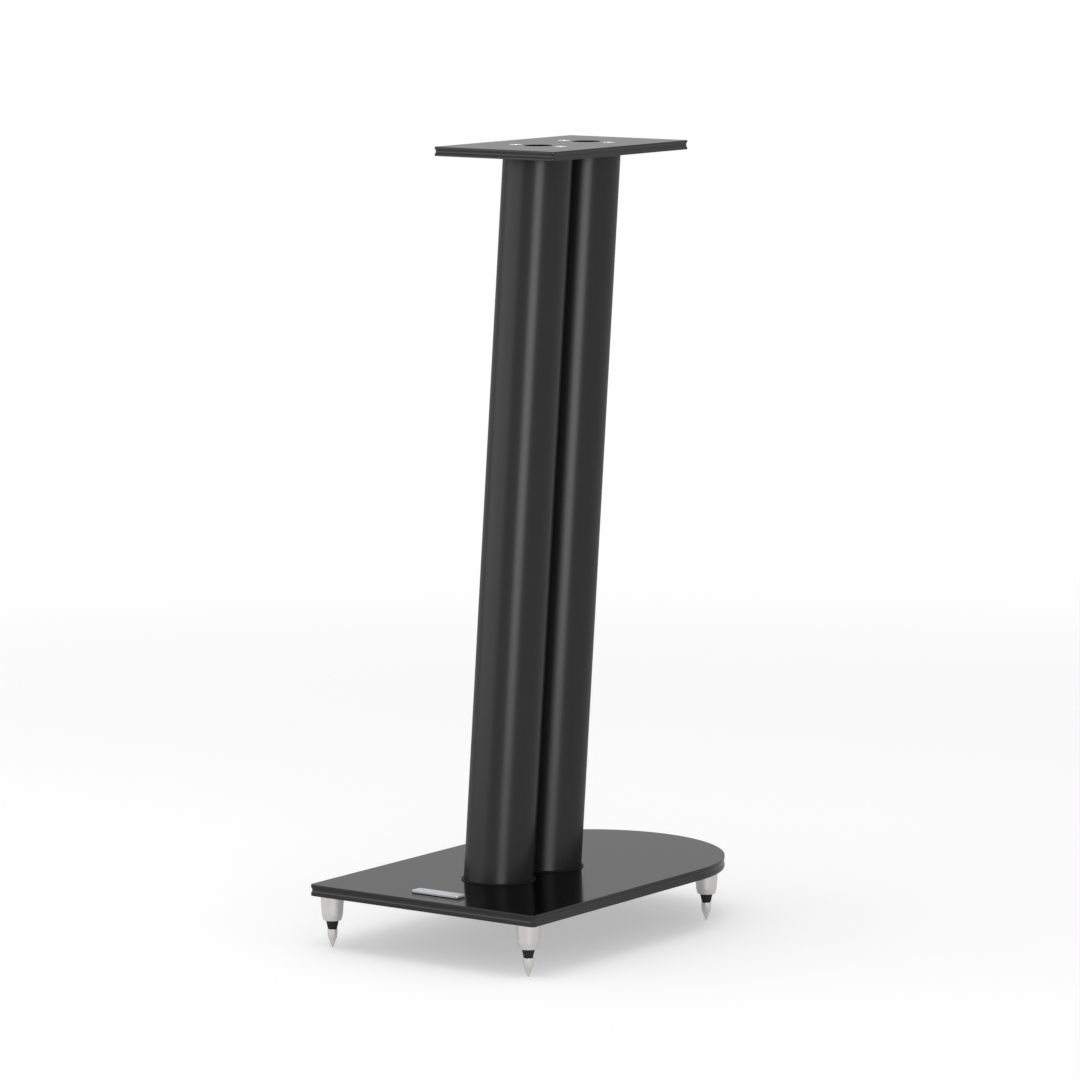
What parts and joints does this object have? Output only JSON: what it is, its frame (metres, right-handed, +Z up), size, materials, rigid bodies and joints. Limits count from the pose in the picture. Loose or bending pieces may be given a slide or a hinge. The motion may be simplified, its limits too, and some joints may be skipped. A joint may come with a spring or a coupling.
{
  "type": "speaker stand",
  "caption": "Speaker stand with a pair of leaning round columns between a small top plate and a D-shaped base on adjustable spiked feet.",
  "frame": {"origin": "on the floor under the middle of the base plate, at the level of the spike tips", "axes": "+Z up, the straight front edge of the base and the badge bar face -Y, the columns lean towards +Y, +X to the right of someone who faces the front"},
  "size_m": [0.2366, 0.372, 0.686],
  "materials": {
    "plate_paint": "satin black lacquer",
    "column_paint": "fine-texture black powder coat",
    "plug_steel": "bare turned steel",
    "ring_rubber": "matte black",
    "screw_steel": "bright zinc plate",
    "badge_aluminium": "brushed, bare",
    "pad_foam": "matte black",
    "foot_aluminium": "satin turned",
    "collar_rubber": "matte black",
    "spike_steel": "bright nickel plate"
  },
  "bodies": {
    "stand": {"top_plate": "plate_paint", "top_plate_screws": "screw_steel", "front_column": "column_paint", "rear_column": "column_paint", "front_upper_plug": "plug_steel", "rear_upper_plug": "plug_steel", "front_lower_plug": "plug_steel", "rear_lower_plug": "plug_steel", "front_column_ring": "ring_rubber", "rear_column_ring": "ring_rubber", "base_plate": "plate_paint", "base_screws": "screw_steel", "badge_bar": "badge_aluminium", "badge_pad": "pad_foam", "foot_studs": "screw_steel", "front_left_foot": "foot_aluminium", "front_right_foot": "foot_aluminium", "rear_left_foot": "foot_aluminium", "rear_right_foot": "foot_aluminium"},
    "front_left_slider": {"front_left_collar": "collar_rubber"},
    "front_left_turner": {"front_left_spike": "spike_steel"},
    "front_right_slider": {"front_right_collar": "collar_rubber"},
    "front_right_turner": {"front_right_spike": "spike_steel"},
    "rear_left_slider": {"rear_left_collar": "collar_rubber"},
    "rear_left_turner": {"rear_left_spike": "spike_steel"},
    "rear_right_slider": {"rear_right_collar": "collar_rubber"},
    "rear_right_turner": {"rear_right_spike": "spike_steel"}
  },
  "joints": [
    {"name": "front_left_spike_travel", "type": "slide", "parent": "stand", "child": "front_left_slider", "axis": [0, 0, -1], "range_m": [0, 0.006]},
    {"name": "front_left_spike_turn", "type": "hinge", "parent": "front_left_slider", "child": "front_left_turner", "pos_m": [-0.10355, -0.17258, 0], "axis": [0, 0, -1], "range_deg": [0, 2160]},
    {"name": "front_right_spike_travel", "type": "slide", "parent": "stand", "child": "front_right_slider", "axis": [0, 0, -1], "range_m": [0, 0.006]},
    {"name": "front_right_spike_turn", "type": "hinge", "parent": "front_right_slider", "child": "front_right_turner", "pos_m": [0.10355, -0.17258, 0], "axis": [0, 0, -1], "range_deg": [0, 2160]},
    {"name": "rear_left_spike_travel", "type": "slide", "parent": "stand", "child": "rear_left_slider", "axis": [0, 0, -1], "range_m": [0, 0.006]},
    {"name": "rear_left_spike_turn", "type": "hinge", "parent": "rear_left_slider", "child": "rear_left_turner", "pos_m": [-0.09423, 0.11057, 0], "axis": [0, 0, -1], "range_deg": [0, 2160]},
    {"name": "rear_right_spike_travel", "type": "slide", "parent": "stand", "child": "rear_right_slider", "axis": [0, 0, -1], "range_m": [0, 0.006]},
    {"name": "rear_right_spike_turn", "type": "hinge", "parent": "rear_right_slider", "child": "rear_right_turner", "pos_m": [0.09423, 0.11057, 0], "axis": [0, 0, -1], "range_deg": [0, 2160]}
  ],
  "couplings": [
    {"joint": "front_left_spike_turn", "follows": "front_left_spike_travel", "rad_per_m": 6283.2},
    {"joint": "front_right_spike_turn", "follows": "front_right_spike_travel", "rad_per_m": 6283.2},
    {"joint": "rear_left_spike_turn", "follows": "rear_left_spike_travel", "rad_per_m": 6283.2},
    {"joint": "rear_right_spike_turn", "follows": "rear_right_spike_travel", "rad_per_m": 6283.2}
  ]
}
